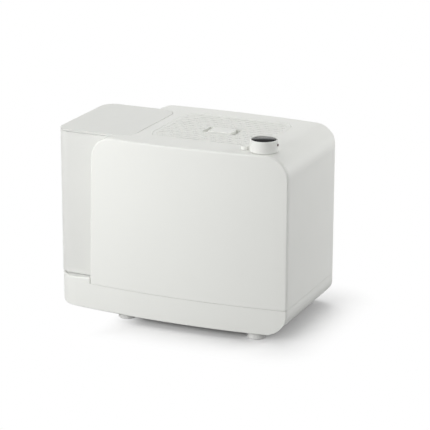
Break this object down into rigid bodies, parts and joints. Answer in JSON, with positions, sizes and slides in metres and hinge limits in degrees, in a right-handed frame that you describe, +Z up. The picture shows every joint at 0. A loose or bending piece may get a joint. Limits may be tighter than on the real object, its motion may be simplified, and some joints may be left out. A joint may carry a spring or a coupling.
{
  "type": "cool mist humidifier",
  "caption": "White box-shaped evaporative humidifier with a lift-out side water tank, slatted top outlet, display dial and power button.",
  "frame": {"origin": "on the table, under the middle of the overall box", "axes": "+Z up, the front faces -Y, the water tank stands at the -X end"},
  "size_m": [0.383, 0.228, 0.304],
  "materials": {
    "white_shell": "satin",
    "tank_frost": "frosted",
    "lid_grey": "satin",
    "inner_plastic": "satin",
    "float_white": "satin",
    "foot_rubber": "matte",
    "seal_rubber": "matte",
    "steel": "plain",
    "motor_can": "satin",
    "board": "solder mask",
    "dark_plastic": "satin",
    "lens_black": "gloss",
    "mark_red": "gloss",
    "wick": "pleated paper felt",
    "filter_foam": "open foam"
  },
  "bodies": {
    "base": {"base_tray": "white_shell", "feet": "foot_rubber", "tank_seat": "inner_plastic", "filter_frame": "inner_plastic", "wick_filter": "wick", "float_guide": "inner_plastic"},
    "housing": {"housing_shell": "white_shell", "front_panel": "white_shell", "rear_grille": "white_shell", "air_filter": "filter_foam", "fan_deck": "inner_plastic", "fan_shroud": "inner_plastic", "fan_motor": "motor_can", "dial_bush": "inner_plastic", "display_post": "inner_plastic", "display_module": "dark_plastic", "display_lens": "lens_black", "control_board": "board", "encoder_sensor": "dark_plastic", "power_switch": "dark_plastic", "power_board": "board", "power_inlet": "dark_plastic", "humidity_sensor": "dark_plastic", "level_probe": "dark_plastic", "deck_screws": "steel", "shroud_screws": "steel", "motor_screws": "steel", "board_screws": "steel", "power_board_screws": "steel"},
    "tank": {"tank_shell": "tank_frost", "tank_cap": "inner_plastic", "cap_seal": "seal_rubber"},
    "lid": {"tank_lid": "lid_grey", "lid_gasket": "seal_rubber"},
    "valve": {"valve_plunger": "inner_plastic", "valve_seal": "seal_rubber", "valve_spring": "steel"},
    "float": {"float_body": "float_white", "float_magnet": "steel"},
    "fan": {"fan_impeller": "inner_plastic", "fan_shaft": "steel"},
    "dial": {"dial_ring": "white_shell", "dial_mark": "mark_red", "encoder_wheel": "dark_plastic"},
    "button": {"power_button": "white_shell"},
    "grille": {"outlet_grille": "white_shell"},
    "lock": {"grille_lock": "white_shell"}
  },
  "joints": [
    {"name": "housing_lift", "type": "slide", "parent": "base", "child": "housing", "axis": [0, 0, 1], "range_m": [0, 0.25]},
    {"name": "tank_lift", "type": "slide", "parent": "base", "child": "tank", "axis": [0, 0, 1], "range_m": [0, 0.25]},
    {"name": "lid_lift", "type": "slide", "parent": "tank", "child": "lid", "axis": [0, 0, 1], "range_m": [0, 0.06]},
    {"name": "valve_close", "type": "slide", "parent": "tank", "child": "valve", "axis": [0, 0, 1], "range_m": [-0.005, 0], "deforming": ["valve_spring"]},
    {"name": "float_rise", "type": "slide", "parent": "base", "child": "float", "axis": [0, 0, 1], "range_m": [0, 0.014]},
    {"name": "fan_spin", "type": "hinge", "parent": "housing", "child": "fan", "pos_m": [0.0415, 0.006, 0.221], "axis": [0, 0, 1], "continuous": true},
    {"name": "dial_turn", "type": "hinge", "parent": "housing", "child": "dial", "pos_m": [0.1448, -0.07819, 0.28], "axis": [0, 0, 1], "continuous": true},
    {"name": "power_press", "type": "slide", "parent": "housing", "child": "button", "axis": [0, 0, -1], "range_m": [0, 0.0012], "stiffness_N_per_m": 600, "springref_m": -0.0008},
    {"name": "grille_lift", "type": "slide", "parent": "housing", "child": "grille", "axis": [0, 0, 1], "range_m": [0, 0.06]},
    {"name": "lock_slide", "type": "slide", "parent": "grille", "child": "lock", "axis": [1, 0, 0], "range_m": [0, 0.006]}
  ],
  "couplings": [
    {"joint": "valve_close", "follows": "tank_lift", "ratio": -0.02}
  ]
}
